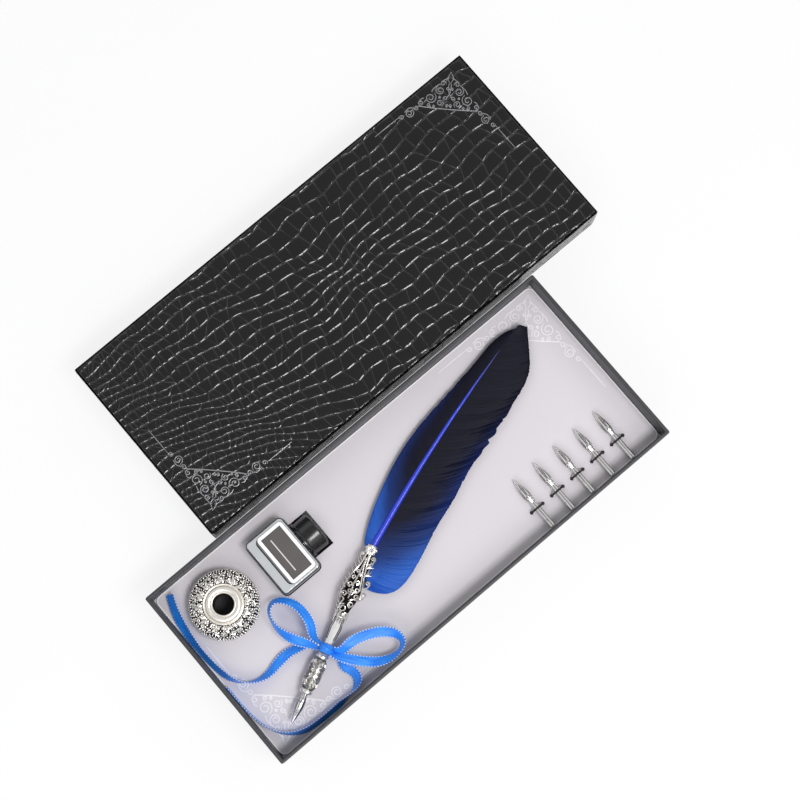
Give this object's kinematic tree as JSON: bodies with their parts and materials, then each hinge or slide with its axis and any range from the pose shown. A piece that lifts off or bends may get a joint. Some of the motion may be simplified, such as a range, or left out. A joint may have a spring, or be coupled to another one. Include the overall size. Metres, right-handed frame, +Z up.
{
  "type": "dip pen gift box",
  "caption": "Open gift box with its lid beside it: feather dip pen tied with a ribbon bow, spare nibs under elastics, ink bottle and round pen rest set in a card.",
  "frame": {"origin": "middle of the tray's underside", "axes": "+X along the tray towards the feather's tip, +Y towards the lid beside it, +Z up"},
  "size_m": [0.3404, 0.2469, 0.038],
  "materials": {
    "greyboard": "matt",
    "charcoal_paper": "matt, fine texture",
    "crocodile_paper": "gloss, crocodile emboss with silver in the grooves",
    "foam": "foam",
    "printed_card": "silk, white print",
    "elastic": "matt",
    "nib_metal": "bright",
    "silver_metal": "antique silver",
    "quill": "satin",
    "feather": "soft sheen",
    "ribbon": "satin with silver stitching",
    "glass": "clear",
    "ink": "wet",
    "label_paper": "silk, white border",
    "cap_plastic": "gloss",
    "liner": "matt",
    "socket_plastic": "matt",
    "felt": "felt"
  },
  "bodies": {
    "tray": {"tray_board": "greyboard", "tray_wrap": "charcoal_paper", "foam_bed": "foam", "foam_rest_block": "foam", "foam_near_block": "foam", "foam_back_block": "foam", "foam_end_block": "foam", "insert_card": "printed_card", "elastic_loop_1": "elastic", "elastic_loop_2": "elastic", "elastic_loop_3": "elastic", "elastic_loop_4": "elastic", "elastic_loop_5": "elastic"},
    "lid": {"lid_board": "greyboard", "lid_wrap": "crocodile_paper"},
    "pen": {"pen_grip": "silver_metal", "nib_collet": "nib_metal", "pen_neck": "silver_metal", "pen_ferrule": "silver_metal", "pen_rosette": "silver_metal", "feather_quill": "quill", "feather_vane_lead": "feather", "feather_vane_trail": "feather", "bow_knot": "ribbon", "bow_loop_left": "ribbon", "bow_loop_right": "ribbon", "ribbon_tail_left": "ribbon", "ribbon_tail_right": "ribbon"},
    "pen_nib": {"pen_nib": "nib_metal"},
    "pen_rest": {"rest_bowl": "silver_metal", "rest_collar": "silver_metal", "rest_socket": "socket_plastic", "rest_pad": "felt"},
    "ink_bottle": {"bottle_glass": "glass", "ink_fill": "ink", "bottle_label": "label_paper"},
    "cap_seal": {"cap_liner": "liner"},
    "cap": {"cap_shell": "cap_plastic"},
    "spare_nib_1": {"spare_nib_1": "nib_metal"},
    "spare_nib_2": {"spare_nib_2": "nib_metal"},
    "spare_nib_3": {"spare_nib_3": "nib_metal"},
    "spare_nib_4": {"spare_nib_4": "nib_metal"},
    "spare_nib_5": {"spare_nib_5": "nib_metal"}
  },
  "joints": [
    {"name": "lid_lift", "type": "slide", "parent": "tray", "child": "lid", "axis": [0, 0, 1], "range_m": [0, 0.08]},
    {"name": "pen_lift", "type": "slide", "parent": "tray", "child": "pen", "axis": [0, 0, 1], "range_m": [0, 0.08]},
    {"name": "nib_draw", "type": "slide", "parent": "pen", "child": "pen_nib", "axis": [-0.9056, -0.4241, 0], "range_m": [0, 0.006]},
    {"name": "rest_lift", "type": "slide", "parent": "tray", "child": "pen_rest", "axis": [0, 0, 1], "range_m": [0, 0.06]},
    {"name": "bottle_lift", "type": "slide", "parent": "tray", "child": "ink_bottle", "axis": [0, 0, 1], "range_m": [0, 0.06]},
    {"name": "cap_rise", "type": "slide", "parent": "ink_bottle", "child": "cap_seal", "axis": [1, 0, 0], "range_m": [0, 0.001]},
    {"name": "cap_turn", "type": "hinge", "parent": "cap_seal", "child": "cap", "pos_m": [-0.08199, 0.0287, 0.0205], "axis": [1, 0, 0], "range_deg": [0, 110]},
    {"name": "nib_slide_1", "type": "slide", "parent": "tray", "child": "spare_nib_1", "axis": [0, 1, 0], "range_m": [0, 0.016]},
    {"name": "nib_slide_2", "type": "slide", "parent": "tray", "child": "spare_nib_2", "axis": [0, 1, 0], "range_m": [0, 0.016]},
    {"name": "nib_slide_3", "type": "slide", "parent": "tray", "child": "spare_nib_3", "axis": [0, 1, 0], "range_m": [0, 0.016]},
    {"name": "nib_slide_4", "type": "slide", "parent": "tray", "child": "spare_nib_4", "axis": [0, 1, 0], "range_m": [0, 0.016]},
    {"name": "nib_slide_5", "type": "slide", "parent": "tray", "child": "spare_nib_5", "axis": [0, 1, 0], "range_m": [0, 0.016]}
  ],
  "couplings": [
    {"joint": "cap_rise", "follows": "cap_turn", "m_per_rad": 0.0005093}
  ]
}
